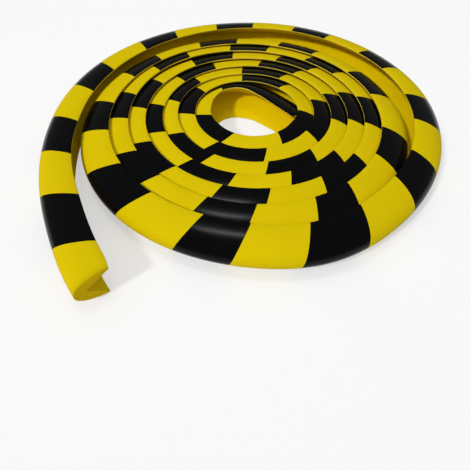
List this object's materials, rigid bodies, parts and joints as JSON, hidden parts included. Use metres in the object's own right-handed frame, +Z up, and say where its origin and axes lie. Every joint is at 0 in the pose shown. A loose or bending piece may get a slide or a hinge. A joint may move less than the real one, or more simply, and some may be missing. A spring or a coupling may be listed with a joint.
{
  "type": "foam edge protector roll",
  "caption": "Foam edge protector strip with a V notch and a blunt nose, wound flat into a loose-ended roll, in yellow and black warning stripes.",
  "frame": {"origin": "middle of the roll in plan, on the surface that it lies on", "axes": "+Z up through the roll, +Y away from the picture's camera, +X to the right"},
  "size_m": [0.401, 0.4243, 0.034],
  "materials": {
    "foam_yellow": "satin"
  },
  "bodies": {
    "root": {"foam_profile": "foam_yellow"}
  },
  "joints": []
}
